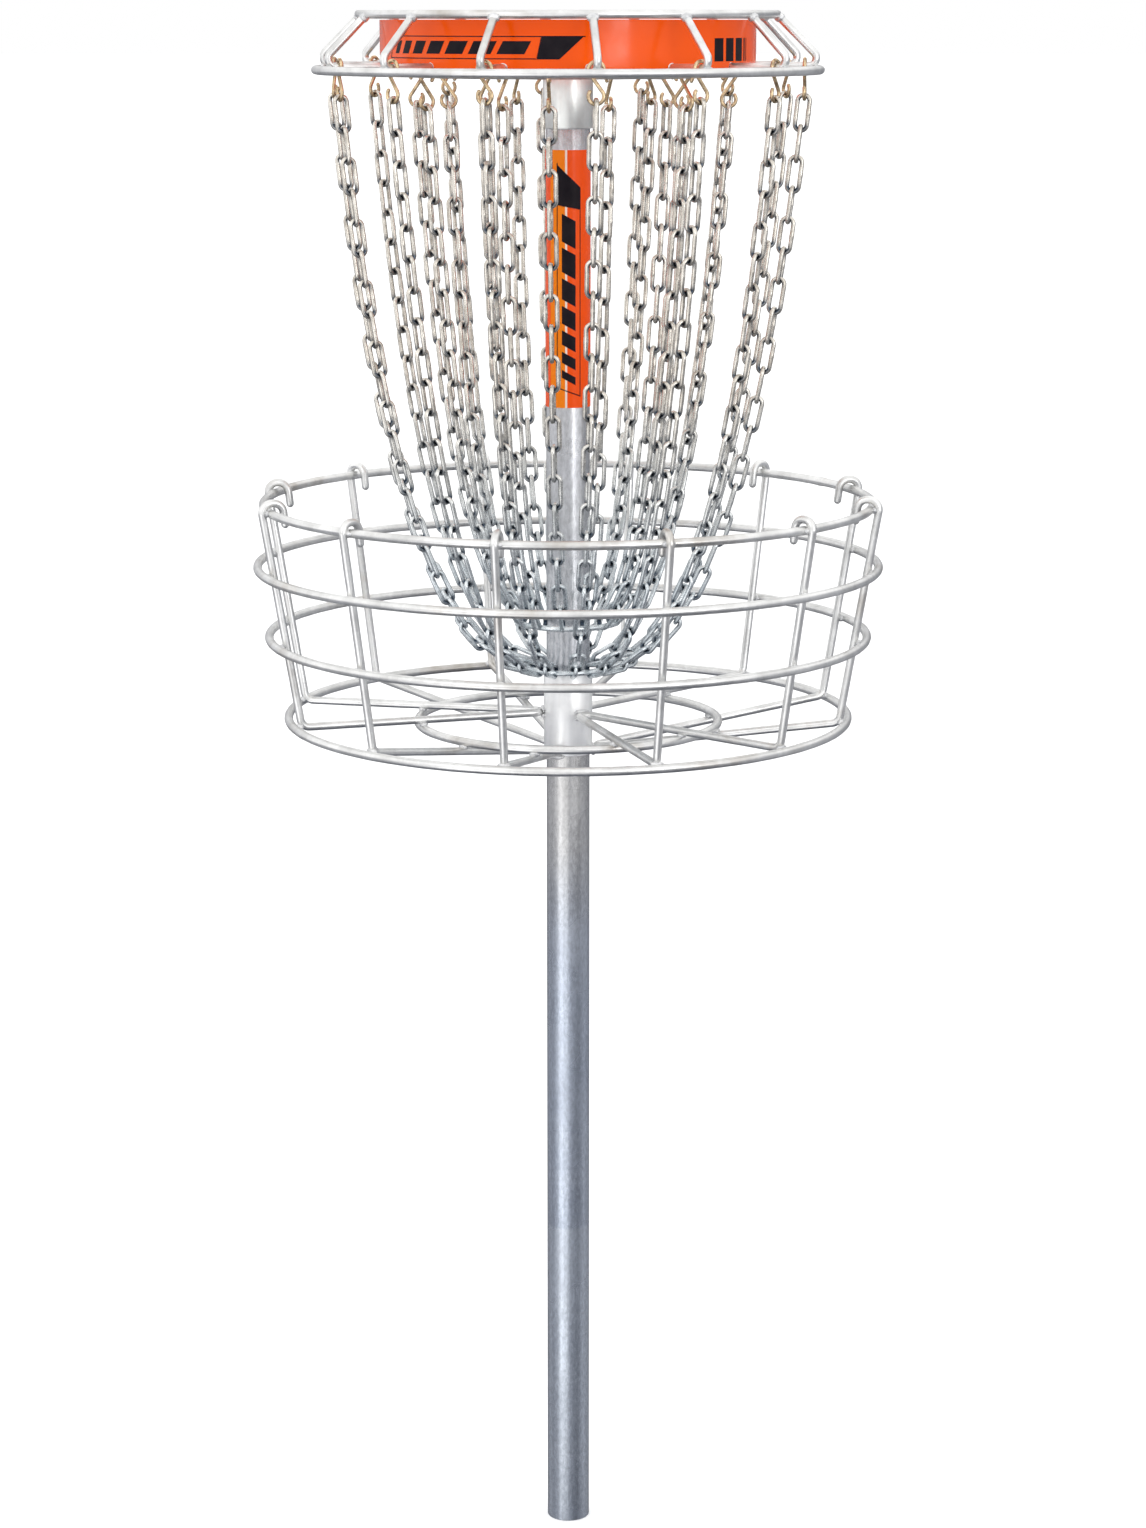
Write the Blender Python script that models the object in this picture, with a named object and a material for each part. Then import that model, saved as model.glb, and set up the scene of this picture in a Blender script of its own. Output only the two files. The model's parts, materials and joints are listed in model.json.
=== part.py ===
"""Disc golf basket: a pole with a welded chain support, hanging chains and a wire catching basket.

Metres, +Z up along the pole. The origin is the centre of the pole's foot. A heading is an angle in degrees
round the pole, 0 towards -Y (the front) and positive towards +X.
"""
import math

import bmesh
import bpy
from mathutils import Matrix, Vector

# Clearances between neighbouring solids
FIT_GAP = 0.0003
WELD_GAP = 0.0006

# Pole
POLE_DIAMETER = 0.0476
POLE_WALL = 0.0030
POLE_HEIGHT = 1.6640
POLE_SIDES = 32

# Sleeves that slide on the pole
SLEEVE_DIAMETER = 0.0536
SLEEVE_BORE = 0.0484
TOP_SLEEVE_BOTTOM = 1.5836
TOP_SLEEVE_TOP = 1.6640
BASKET_SLEEVE_BOTTOM = 0.9026
BASKET_SLEEVE_TOP = 0.9933
CAP_THICKNESS = 0.0040

# Set bolts that lock the sleeves to the pole
HEX_SIDES = 6
BOLT_SHANK = 0.0080
BOLT_HOLE = 0.0096
BOLT_HEAD_WIDTH = 0.0145
BOLT_HEAD_HEIGHT = 0.0055
BOLT_HEADING = 180.0
TOP_BOLT_HEIGHT = 1.6080
BASKET_BOLT_HEIGHT = 0.9740

# Rod sizes
RING_ROD = 0.0095
SUPPORT_ROD = 0.0085
HANGER_ROD = 0.0070
BASKET_ROD = 0.0085
CHAIN_RING_ROD = 0.0064
RING_POINTS = 48
SMALL_RING_POINTS = 28
BEND_STEP = 28.0
ROD_BEVEL = 1
SHARP_EDGE = 40.0

# Chain support: two hoops joined by seven V-bent rods, each making two of the fourteen spokes, and two
# hanger hoops welded under the spokes for the inner chains
SPOKE_COUNT = 14
FIRST_SPOKE = 6.5
UPPER_RING = (0.2215, 1.7030)
LOWER_RING = (0.2685, 1.6452)
SPOKE_RISE = 0.0043
SPOKE_BEND = 0.0080
APEX_BEND = 0.0090

# Sheet band inside the support rods, with a saddle slot over each spoke
BAND_RADIUS = 0.2000
BAND_THICKNESS = 0.0012
BAND_TOP = 1.6970
BAND_BOTTOM = 1.6405
BAND_SLOT = 0.0110
BAND_COLUMNS = 4

# Catching basket: four hoops, a floor hoop and six bent rods, each making two of the twelve uprights
UPRIGHT_COUNT = 12
FIRST_UPRIGHT = -12.4
RIM_RING = (0.3318, 1.1826)
SECOND_RING = (0.3393, 1.1139)
THIRD_RING = (0.3278, 1.0367)
BOTTOM_RING = (0.3081, 0.9461)
FLOOR_RING_RADIUS = 0.1657
UPRIGHT_LEAN = 0.1700
UPRIGHT_FOOT_BEND = 0.0100
HOOK_RADIUS = 0.0110
HOOK_BEND = 0.0107
HOOK_TIP_LENGTH = 0.0120
HOOK_TIP_SLANT = 0.0030
LOW_APEX_DROP = 0.0430

# Chains: a plain tube for each hanging strand, along the catenary that the chain hangs in
STRAND_DIAMETER = 0.0120
STRAND_POINTS = 9
CATENARY_SIZES = (0.010, 1.000)
HALVINGS = 60
HANGER_GAP = 0.00135
OUTER_HANGER_RADIUS = 0.2520
MIDDLE_HANGER_RADIUS = 0.1735
INNER_HANGER_RADIUS = 0.1275
OUTER_CHAIN_RING = (0.0450, 0.9995)
INNER_CHAIN_RING = (0.0550, 1.0503)
OUTER_VERTEX_RADIUS = 0.0360
INNER_VERTEX_RADIUS = 0.0250
STRAND_END_GAP = 0.0060

# Decal wrapped round the pole
DECAL_BOTTOM = 1.2869
DECAL_TOP = 1.5615
DECAL_THICKNESS = 0.0004
DECAL_HALF_WRAP = 112.0
DECAL_COLUMNS = 20

# Finishes: name, colour, roughness, metallic
GALVANISED = ("galvanised_steel", (0.62, 0.64, 0.66, 1.0), 0.42, 0.90)
CHAIN_STEEL = ("chain_steel", (0.52, 0.53, 0.54, 1.0), 0.40, 0.90)
ZINC_BOLT = ("zinc_bolt", (0.55, 0.55, 0.54, 1.0), 0.30, 0.90)
ORANGE_PAINT = ("orange_paint", (0.87, 0.10, 0.01, 1.0), 0.35, 0.00)
DECAL_FILM = ("decal_film", (0.90, 0.14, 0.01, 1.0), 0.25, 0.00)


def clear_scene():
    for thing in list(bpy.data.objects):
        bpy.data.objects.remove(thing, do_unlink=True)


def material(spec):
    name, colour, roughness, metallic = spec
    made = bpy.data.materials.get(name)
    if made is None:
        made = bpy.data.materials.new(name)
        made.use_nodes = True
        shader = made.node_tree.nodes["Principled BSDF"]
        shader.inputs["Base Color"].default_value = colour
        shader.inputs["Roughness"].default_value = roughness
        shader.inputs["Metallic"].default_value = metallic
    return made


def polar(radius, heading, height):
    angle = math.radians(heading)
    return Vector((radius * math.sin(angle), -radius * math.cos(angle), height))


def rounded(corners, radii):
    """The polyline through corners, each inner corner replaced by an arc of its own radius."""
    path = [corners[0]]
    for before, corner, after, radius in zip(corners, corners[1:], corners[2:], radii):
        back = (before - corner).normalized()
        ahead = (after - corner).normalized()
        half = back.angle(ahead) / 2
        bisector = (back + ahead).normalized()
        centre = corner + bisector * (radius / math.sin(half))
        start = corner + back * (radius / math.tan(half)) - centre
        turn = math.pi - 2 * half
        steps = max(2, math.ceil(math.degrees(turn) / BEND_STEP))
        side = -radius * back
        for step in range(steps + 1):
            angle = turn * step / steps
            path.append(centre + start * math.cos(angle) + side * math.sin(angle))
    path.append(corners[-1])
    return path


def rod(name, path, diameter, spec, closed=False, origin=Vector()):
    """A round rod along a path, as a bevelled curve with filled ends, or a closed hoop."""
    curve = bpy.data.curves.new(name, "CURVE")
    curve.dimensions = "3D"
    curve.twist_mode = "Z_UP" if closed else "MINIMUM"
    curve.bevel_depth = diameter / 2
    curve.bevel_resolution = ROD_BEVEL
    curve.use_fill_caps = not closed
    spline = curve.splines.new("POLY")
    spline.points.add(len(path) - 1)
    for point, place in zip(spline.points, path):
        point.co = (*(place - origin), 1.0)
    spline.use_cyclic_u = closed
    curve.materials.append(material(spec))
    made = bpy.data.objects.new(name, curve)
    made.location = origin
    bpy.context.collection.objects.link(made)
    return made


def hoop(name, radius, height, diameter, spec, points=RING_POINTS):
    path = [polar(radius, 360.0 * i / points, height) for i in range(points)]
    return rod(name, path, diameter, spec, closed=True)


def mesh_object(name, shape, spec):
    mesh = bpy.data.meshes.new(name)
    bmesh.ops.recalc_face_normals(shape, faces=shape.faces)
    shape.to_mesh(mesh)
    shape.free()
    mesh.materials.append(material(spec))
    mesh.shade_smooth()
    mesh.set_sharp_from_angle(angle=math.radians(SHARP_EDGE))
    made = bpy.data.objects.new(name, mesh)
    bpy.context.collection.objects.link(made)
    return made


def curved_wall(name, inner, outer, columns, closed, spec):
    """A wall round the pole's axis through columns of (heading, bottom, top)."""
    shape = bmesh.new()
    rails = []
    for heading, bottom, top in columns:
        rails.append([shape.verts.new(polar(r, heading, z))
                      for r, z in ((outer, bottom), (outer, top), (inner, top), (inner, bottom))])
    count = len(rails)
    for i in range(count if closed else count - 1):
        here, there = rails[i], rails[(i + 1) % count]
        for a in range(4):
            b = (a + 1) % 4
            shape.faces.new((here[a], there[a], there[b], here[b]))
    if not closed:
        shape.faces.new(rails[0])
        shape.faces.new(rails[-1][::-1])
    return mesh_object(name, shape, spec)


def tube(name, outer, inner, bottom, top, spec):
    columns = [(360.0 * i / POLE_SIDES, bottom, top) for i in range(POLE_SIDES)]
    return curved_wall(name, inner, outer, columns, True, spec)


def pole():
    tube("pole", POLE_DIAMETER / 2, POLE_DIAMETER / 2 - POLE_WALL, 0.0, POLE_HEIGHT, GALVANISED)


def drilled_sleeve(name, bottom, top, bolt_height):
    sleeve = tube(name, SLEEVE_DIAMETER / 2, SLEEVE_BORE / 2, bottom, top, GALVANISED)
    shape = bmesh.new()
    bmesh.ops.create_cone(shape, cap_ends=True, segments=2 * HEX_SIDES, radius1=BOLT_HOLE / 2,
                          radius2=BOLT_HOLE / 2, depth=SLEEVE_DIAMETER / 2)
    drill = mesh_object(name + "_drill", shape, GALVANISED)
    drill.location = polar(SLEEVE_DIAMETER / 2, BOLT_HEADING, bolt_height)
    drill.rotation_euler = (math.pi / 2, 0, 0)
    drill.hide_render = True
    drill.display_type = "WIRE"
    cut = sleeve.modifiers.new("bolt_hole", "BOOLEAN")
    cut.operation = "DIFFERENCE"
    cut.object = drill


def set_bolt(name, height):
    """A hex bolt in the sleeve's back. Its tip bears on the pole."""
    shape = bmesh.new()
    seat = SLEEVE_DIAMETER / 2 + FIT_GAP
    sections = [(BOLT_SHANK, POLE_DIAMETER / 2 + FIT_GAP), (BOLT_SHANK, seat),
                (BOLT_HEAD_WIDTH, seat), (BOLT_HEAD_WIDTH, seat + BOLT_HEAD_HEIGHT)]
    turns = [Matrix.Rotation(math.tau * i / HEX_SIDES, 3, "Z") for i in range(HEX_SIDES)]
    rings = [[shape.verts.new(turn @ Vector((width / 2, 0, place))) for turn in turns]
             for width, place in sections]
    for lower, upper in zip(rings, rings[1:]):
        for i in range(HEX_SIDES):
            j = (i + 1) % HEX_SIDES
            shape.faces.new((lower[i], lower[j], upper[j], upper[i]))
    shape.faces.new(rings[0][::-1])
    shape.faces.new(rings[-1])
    bolt = mesh_object(name, shape, ZINC_BOLT)
    bolt.rotation_euler = (-math.pi / 2, 0, 0)
    bolt.location = (0, 0, height)


def sleeve_cap():
    shape = bmesh.new()
    bmesh.ops.create_cone(shape, cap_ends=True, segments=POLE_SIDES, radius1=SLEEVE_DIAMETER / 2,
                          radius2=SLEEVE_DIAMETER / 2, depth=CAP_THICKNESS)
    cap = mesh_object("sleeve_cap", shape, GALVANISED)
    cap.location = (0, 0, TOP_SLEEVE_TOP + FIT_GAP + CAP_THICKNESS / 2)


def decal():
    step = 2 * DECAL_HALF_WRAP / DECAL_COLUMNS
    inner = POLE_DIAMETER / 2 + FIT_GAP
    columns = [(-DECAL_HALF_WRAP + step * i, DECAL_BOTTOM, DECAL_TOP) for i in range(DECAL_COLUMNS + 1)]
    curved_wall("pole_decal", inner, inner + DECAL_THICKNESS, columns, False, DECAL_FILM)


def spoke_level():
    return LOWER_RING[1] + SPOKE_RISE


def hanger_level():
    return spoke_level() - (SUPPORT_ROD + HANGER_ROD) / 2 - WELD_GAP


def v_apex(foot_radius, half_angle, rod_size):
    """Where the straight legs of a V-bent rod would meet, so that its bend just touches the sleeve."""
    touch = SLEEVE_DIAMETER / 2 + rod_size / 2 + WELD_GAP
    centre = touch + APEX_BEND
    across = foot_radius * math.sin(math.radians(half_angle))
    along = foot_radius * math.cos(math.radians(half_angle)) - centre
    slope = math.atan2(across, along) - math.asin(APEX_BEND / math.hypot(across, along))
    return centre - APEX_BEND / math.sin(slope)


def support_corner():
    """Radius where a spoke's line meets the slanting leg's line, and the leg's direction in its plane."""
    reach = SPOKE_BEND + (RING_ROD + SUPPORT_ROD) / 2 + WELD_GAP
    centre_height = spoke_level() + SPOKE_BEND
    centre_radius = LOWER_RING[0] - math.sqrt(reach ** 2 - (centre_height - LOWER_RING[1]) ** 2)
    out = centre_radius - UPPER_RING[0]
    down = centre_height - UPPER_RING[1]
    lean = math.atan2(down, out) + math.asin(SPOKE_BEND / math.hypot(out, down))
    corner = UPPER_RING[0] + (spoke_level() - UPPER_RING[1]) / math.tan(lean)
    return corner, lean


def spoke_heading(index, radius):
    """The heading at which a spoke crosses a radius. Spokes aren't quite radial: two of them form one V."""
    half = 180.0 / SPOKE_COUNT
    corner = support_corner()[0]
    apex = v_apex(corner, half, SUPPORT_ROD)
    across = corner * math.sin(math.radians(half))
    slope = math.atan2(across, corner * math.cos(math.radians(half)) - apex)
    offset = slope - math.asin(apex * math.sin(slope) / radius)
    side = 1 if index % 2 else -1
    middle = FIRST_SPOKE - half + 4 * half * (index // 2)
    return middle + side * math.degrees(offset)


def chain_support():
    hoop("upper_support_ring", *UPPER_RING, RING_ROD, GALVANISED)
    hoop("lower_support_ring", *LOWER_RING, RING_ROD, GALVANISED)
    corner, lean = support_corner()
    stand_off = RING_ROD / 2 + WELD_GAP
    end = (UPPER_RING[0] + stand_off * math.cos(lean), UPPER_RING[1] + stand_off * math.sin(lean))
    half = 180.0 / SPOKE_COUNT
    apex = v_apex(corner, half, SUPPORT_ROD)
    for pair in range(SPOKE_COUNT // 2):
        middle = FIRST_SPOKE - half + 4 * half * pair
        path = rounded([polar(end[0], middle - half, end[1]),
                        polar(corner, middle - half, spoke_level()),
                        polar(apex, middle, spoke_level()),
                        polar(corner, middle + half, spoke_level()),
                        polar(end[0], middle + half, end[1])],
                       [SPOKE_BEND, APEX_BEND, SPOKE_BEND])
        rod(f"support_rod_{pair + 1}", path, SUPPORT_ROD, GALVANISED)
    hoop("middle_hanger_ring", MIDDLE_HANGER_RADIUS, hanger_level(), HANGER_ROD, GALVANISED)
    hoop("inner_hanger_ring", INNER_HANGER_RADIUS, hanger_level(), HANGER_ROD, GALVANISED)


def top_band():
    """The orange sheet hoop. Its lower edge has a saddle slot over each spoke."""
    slot_top = spoke_level() + SUPPORT_ROD / 2 + WELD_GAP
    half_slot = math.degrees(BAND_SLOT / 2 / BAND_RADIUS)
    inner = BAND_RADIUS - BAND_THICKNESS
    shape = bmesh.new()
    corners = {}

    def corner(radius, heading, height):
        key = (radius, round(heading % 360.0, 5), height)
        if key not in corners:
            corners[key] = shape.verts.new(polar(*key))
        return corners[key]

    def panel(start, end, levels):
        """A stretch of the sheet with its two faces, its top edge and its bottom edge."""
        for radius in (BAND_RADIUS, inner):
            for low, high in zip(levels, levels[1:]):
                shape.faces.new([corner(radius, start, low), corner(radius, end, low),
                                 corner(radius, end, high), corner(radius, start, high)])
        for level in (levels[0], levels[-1]):
            shape.faces.new([corner(BAND_RADIUS, start, level), corner(inner, start, level),
                             corner(inner, end, level), corner(BAND_RADIUS, end, level)])

    headings = [spoke_heading(i, BAND_RADIUS) for i in range(SPOKE_COUNT)]
    for here, there in zip(headings, headings[1:] + [headings[0] + 360.0]):
        panel(here - half_slot, here + half_slot, (slot_top, BAND_TOP))
        start, end = here + half_slot, there - half_slot
        for i in range(BAND_COLUMNS):
            panel(start + (end - start) * i / BAND_COLUMNS, start + (end - start) * (i + 1) / BAND_COLUMNS,
                  (BAND_BOTTOM, slot_top, BAND_TOP))
        for edge in (start, end):
            shape.faces.new([corner(BAND_RADIUS, edge, BAND_BOTTOM), corner(BAND_RADIUS, edge, slot_top),
                             corner(inner, edge, slot_top), corner(inner, edge, BAND_BOTTOM)])
    mesh_object("top_band", shape, ORANGE_PAINT)


def basket_foot(leg_radius, touch):
    """Radius and height of the corner between an upright and its floor spoke, as it rests in the bottom ring."""
    slope = math.hypot(1.0, UPRIGHT_LEAN)
    floor = BOTTOM_RING[1]
    for _ in range(HALVINGS):
        foot = leg_radius - UPRIGHT_LEAN * (RIM_RING[1] - floor)
        centre = foot + UPRIGHT_LEAN * UPRIGHT_FOOT_BEND - UPRIGHT_FOOT_BEND * slope
        rise = math.sqrt((UPRIGHT_FOOT_BEND + touch) ** 2 - (BOTTOM_RING[0] - centre) ** 2)
        floor = BOTTOM_RING[1] + rise - UPRIGHT_FOOT_BEND
    return foot, floor


def basket():
    """Each of the six rods is a hook, an upright, a floor spoke, a bend at the sleeve, and the same back."""
    hoop("rim_ring", *RIM_RING, RING_ROD, GALVANISED)
    hoop("second_ring", *SECOND_RING, RING_ROD, GALVANISED)
    hoop("third_ring", *THIRD_RING, RING_ROD, GALVANISED)
    hoop("bottom_ring", *BOTTOM_RING, RING_ROD, GALVANISED)
    touch = (RING_ROD + BASKET_ROD) / 2 + WELD_GAP
    leg_radius = RIM_RING[0] + touch
    foot, floor = basket_foot(leg_radius, touch)
    hoop("floor_ring", FLOOR_RING_RADIUS, floor - touch, RING_ROD, GALVANISED, SMALL_RING_POINTS)
    half = 180.0 / UPRIGHT_COUNT
    apex = v_apex(foot, half, BASKET_ROD)
    tip = leg_radius - 2 * HOOK_RADIUS
    hook_top = RIM_RING[1] + HOOK_RADIUS

    def leg(heading):
        return [polar(tip - HOOK_TIP_SLANT, heading, RIM_RING[1] - HOOK_TIP_LENGTH),
                polar(tip, heading, hook_top),
                polar(leg_radius + UPRIGHT_LEAN * HOOK_RADIUS, heading, hook_top),
                polar(foot, heading, floor)]

    bends = [HOOK_BEND, HOOK_BEND, UPRIGHT_FOOT_BEND]
    for pair in range(UPRIGHT_COUNT // 2):
        middle = FIRST_UPRIGHT + half * 3 + 4 * half * pair
        drop = LOW_APEX_DROP if pair % 2 else 0.0
        corners = leg(middle - half) + [polar(apex, middle, floor - drop)] + leg(middle + half)[::-1]
        path = rounded(corners, bends + [APEX_BEND] + bends[::-1])
        rod(f"basket_rod_{pair + 1}", path, BASKET_ROD, GALVANISED)


def catenary_scale(top, bottom, vertex):
    """The catenary parameter of a chain through two (radius, height) points, its vertex at a given radius."""
    low, high = CATENARY_SIZES
    for _ in range(HALVINGS):
        size = (low + high) / 2
        rise = size * (math.cosh((top[0] - vertex) / size) - math.cosh((bottom[0] - vertex) / size))
        low, high = (size, high) if rise > top[1] - bottom[1] else (low, size)
    return size


def strand_profile(top, bottom, vertex):
    """Points of the hanging chain from top to bottom, closer together where it curves more."""
    size = catenary_scale(top, bottom, vertex)
    start = (top[0] - vertex) / size
    end = (bottom[0] - vertex) / size
    runs = [start + (end - start) * i / (STRAND_POINTS - 1) for i in range(STRAND_POINTS)]
    return [(vertex + size * run, top[1] + size * (math.cosh(run) - math.cosh(start))) for run in runs]


def outer_hangers():
    """Radius, heading and height of each outer strand's top, under its spoke."""
    height = spoke_level() - SUPPORT_ROD / 2 - HANGER_GAP
    return [(OUTER_HANGER_RADIUS, spoke_heading(i, OUTER_HANGER_RADIUS), height) for i in range(SPOKE_COUNT)]


def inner_hangers():
    """The same for the inner strands, half way between spokes and by turns under the two hanger hoops."""
    half = 180.0 / SPOKE_COUNT
    radii = (INNER_HANGER_RADIUS, MIDDLE_HANGER_RADIUS)
    height = hanger_level() - HANGER_ROD / 2 - HANGER_GAP
    return [(radii[i % 2], FIRST_SPOKE + half * (2 * i + 1), height) for i in range(SPOKE_COUNT)]


def chain_set(prefix, hangers, ring, vertex):
    """A strand from each hanger to the set's ring, and the ring."""
    ring_gap = CHAIN_RING_ROD / 2 + STRAND_END_GAP
    for number, (hanger_radius, heading, hanger_height) in enumerate(hangers, 1):
        profile = strand_profile((hanger_radius, hanger_height), (ring[0] + ring_gap, ring[1]), vertex)
        path = [polar(radius, heading, height) for radius, height in profile]
        rod(f"{prefix}_chain_{number:02d}", path, STRAND_DIAMETER, CHAIN_STEEL, origin=path[0])
    hoop(f"{prefix}_chain_ring", *ring, CHAIN_RING_ROD, CHAIN_STEEL, SMALL_RING_POINTS)


def build():
    clear_scene()
    pole()
    drilled_sleeve("top_sleeve", TOP_SLEEVE_BOTTOM, TOP_SLEEVE_TOP, TOP_BOLT_HEIGHT)
    drilled_sleeve("basket_sleeve", BASKET_SLEEVE_BOTTOM, BASKET_SLEEVE_TOP, BASKET_BOLT_HEIGHT)
    sleeve_cap()
    set_bolt("top_set_bolt", TOP_BOLT_HEIGHT)
    set_bolt("basket_set_bolt", BASKET_BOLT_HEIGHT)
    decal()
    chain_support()
    top_band()
    basket()
    chain_set("outer", outer_hangers(), OUTER_CHAIN_RING, OUTER_VERTEX_RADIUS)
    chain_set("inner", inner_hangers(), INNER_CHAIN_RING, INNER_VERTEX_RADIUS)


build()
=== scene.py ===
"""Looks of the disc golf basket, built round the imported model.

Metres, +Z up along the pole, the front towards -Y. A heading is an angle in degrees round the pole,
0 towards the front and positive towards +X.
"""

import json
import math
import random

import bmesh
import bpy
from mathutils import Matrix, Vector, noise


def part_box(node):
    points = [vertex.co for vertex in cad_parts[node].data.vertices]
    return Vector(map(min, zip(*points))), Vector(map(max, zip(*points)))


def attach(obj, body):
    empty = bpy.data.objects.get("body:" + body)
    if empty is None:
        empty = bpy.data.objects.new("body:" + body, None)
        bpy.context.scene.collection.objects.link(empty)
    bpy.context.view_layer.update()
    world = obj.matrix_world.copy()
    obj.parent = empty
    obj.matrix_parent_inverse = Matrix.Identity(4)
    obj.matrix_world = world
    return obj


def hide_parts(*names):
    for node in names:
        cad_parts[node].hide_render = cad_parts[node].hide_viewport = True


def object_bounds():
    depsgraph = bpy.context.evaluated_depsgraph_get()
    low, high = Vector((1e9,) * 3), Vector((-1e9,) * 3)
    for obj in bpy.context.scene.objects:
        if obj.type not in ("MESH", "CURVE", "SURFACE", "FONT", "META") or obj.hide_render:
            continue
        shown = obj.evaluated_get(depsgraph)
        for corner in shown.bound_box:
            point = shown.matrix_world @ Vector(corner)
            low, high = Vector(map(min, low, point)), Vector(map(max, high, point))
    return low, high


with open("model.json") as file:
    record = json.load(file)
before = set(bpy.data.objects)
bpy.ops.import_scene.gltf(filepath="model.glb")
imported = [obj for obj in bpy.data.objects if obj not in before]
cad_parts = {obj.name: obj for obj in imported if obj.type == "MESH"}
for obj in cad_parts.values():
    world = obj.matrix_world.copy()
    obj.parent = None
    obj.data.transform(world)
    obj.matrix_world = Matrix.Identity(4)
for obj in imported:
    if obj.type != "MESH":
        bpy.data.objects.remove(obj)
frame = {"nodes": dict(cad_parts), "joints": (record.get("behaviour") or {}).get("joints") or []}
CAD_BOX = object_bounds()

# Camera
CAMERA_PLACE = (0.0054, -3.83, 1.703)
CAMERA_TILT = 78.0
CAMERA_LENS = 83.13
SENSOR = 36.0

# Rods, as in the model
RING_ROD = 0.0095
SUPPORT_ROD = 0.0085
HANGER_ROD = 0.0070
HANGER_GAP = 0.00135
BASKET_ROD = 0.0085
CHAIN_RING_ROD = 0.0064
WELD_GAP = 0.0006
APEX_BEND = 0.0090

# Chain support
SPOKE_COUNT = 14
FIRST_SPOKE = 6.5
SPOKE_RISE = 0.0043
SPOKE_BEND = 0.0080

# Fasteners and tubes
TUBE_CHAMFER = 0.0006
SLEEVE_CHAMFER = 0.0012
SLEEVE_CLEARANCE = 0.0004
CAP_LOWER_CHAMFER = 0.0008
CAP_UPPER_CHAMFER = 0.0010
BOLT_SHANK_SHARE = 0.55
BOLT_DEPTH = 0.0015
BOLT_HEAD_HEIGHT = 0.0052
BOLT_BEVEL = 0.0005

# Weld beads, as half sizes (along the joint, outwards, across)
UPPER_HOOP_BEAD = (0.0066, 0.0056, 0.0050)
LOWER_HOOP_BEAD = (0.0078, 0.0032, 0.0040)
LOWER_HOOP_BEAD_RISE = 0.0020
HANGER_BEAD = (0.0030, 0.0018, 0.0016)
HANGER_BEAD_OFFSET = 0.0030
HANGER_BEAD_DROP = 0.0004
UPRIGHT_BEAD = (0.0072, 0.0034, 0.0040)
BOTTOM_HOOP_BEAD = (0.0072, 0.0036, 0.0042)
BOTTOM_HOOP_BEAD_RISE = 0.0035
FLOOR_HOOP_BEAD = (0.0060, 0.0045, 0.0038)
SLEEVE_BEAD = (0.0085, 0.0028, 0.0028)
SLEEVE_BEAD_REACH = 0.0008
SUPPORT_BEAD_LIFT = 0.0036
BASKET_BEAD_LIFT = 0.0038

# Basket
UPRIGHT_COUNT = 12
FIRST_UPRIGHT = -12.4
UPRIGHT_LEAN = 0.1700
UPRIGHT_FOOT_BEND = 0.0100
HOOK_RADIUS = 0.0110
HOOK_BEND = 0.0107
HOOK_TIP_LENGTH = 0.0120
HOOK_TIP_SLANT = 0.0030
LOW_APEX_DROP = 0.0430

# Band and prints; a graphic is (length, height, line), a plain bar (left, right)
BAND_THICKNESS = 0.0012
BAND_SLOT = 0.0110
BAND_LEVELS = 4
SLOT_COLUMNS = 16
PANEL_COLUMNS = 22
SLOT_EDGE_TURN = 0.004  # keeps a slot's side from being a face of no width
PRINT_HEIGHT = 0.00018
PRINT_DEPTH = 0.00002
PRINT_COLUMN = 0.003
PRINT_ROW = 0.004
ROW_OVERLAP = 0.00005
BAND_GRAPHIC = (0.252, 0.0232, 0.0010)
BAND_GRAPHIC_HEADING = -67.0
BAND_GRAPHIC_DROP = 0.0106
PLAIN_BARS_TOP = 0.0235
PLAIN_BARS = ((0.0, 0.015), (0.020, 0.035), (0.040, 0.055), (0.060, 0.063), (0.066, 0.0675))
PLAIN_BARS_HEADING = 49.0
PLAIN_BARS_DROP = 0.0135
DECAL_THICKNESS = 0.0004
DECAL_REACH = 0.0007
DECAL_COLUMNS = 64
DECAL_GRAPHIC = (0.249, 0.0265, 0.0009)
DECAL_GRAPHIC_RISE = 0.012
DECAL_GRAPHIC_TURN = 2.0

# Chain links and hooks
LINK_WIRE = 0.0049
LINK_WIDTH = 0.0178
LINK_PITCH = 0.0327
LINK_BEAD = 0.0022
OUTER_VERTEX = 0.0360
INNER_VERTEX = 0.0250
STRAND_SWAY = 0.0022
STRAND_WANDER = 14
LINK_JITTER = 7
HOOK_WIRE = 0.0040
HOOK_LOOP = 0.0078
HOOK_HEIGHT = 0.0460
HOOK_SLACK = 0.0010
HOOK_JITTER = 3

# How finely things are made
ROD_SIDES = 14
WIRE_SIDES = 10
BEND_STEP = 9.0
HOOP_POINTS = 220
SMALL_HOOP_POINTS = 96
TUBE_SIDES = 96
HALVINGS = 60
SUPPORT_SPACING = 0.006
BASKET_SPACING = 0.007
HOOK_SPACING = 0.003

# Material slots of the record
STEEL = "galvanised_steel"
CHAIN = "chain_steel"
ORANGE = "orange_paint"

# Studio: lamps as (name, place, aim, width, height, power)
FLOOR_SIZE = 150.0
FLOOR_GAP = 0.0002
LAMPS = (("key_left", (-2.4, -3.2, 3.0), (0, 0, 1.2), 1.0, 2.4, 12.0),
         ("fill_right", (1.9, -3.2, 1.9), (0, 0, 1.3), 0.8, 2.2, 6.0),
         ("glare_right", (1.94, -3.77, 1.66), (0.06, -0.24, 1.67), 1.3, 0.2, 7.5))

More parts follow.
